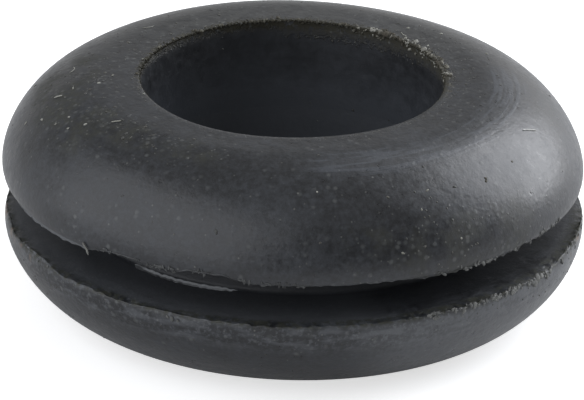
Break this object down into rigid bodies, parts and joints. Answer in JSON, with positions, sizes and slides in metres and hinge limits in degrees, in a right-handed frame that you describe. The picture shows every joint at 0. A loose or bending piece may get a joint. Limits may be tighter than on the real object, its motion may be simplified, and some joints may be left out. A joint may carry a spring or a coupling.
{
  "type": "rubber grommet",
  "caption": "Round open rubber grommet: a moulded ring with crowned flanges, a straight cable bore and a square groove that snaps over the edge of a panel hole.",
  "frame": {"origin": "middle of the panel groove, on the axis of the bore", "axes": "+Z along the bore axis, out through the upper flange; the flanges are alike, so +X and +Y are free"},
  "size_m": [0.02, 0.02, 0.008],
  "materials": {
    "rubber": "matte"
  },
  "bodies": {
    "root": {"grommet": "rubber"}
  },
  "joints": []
}
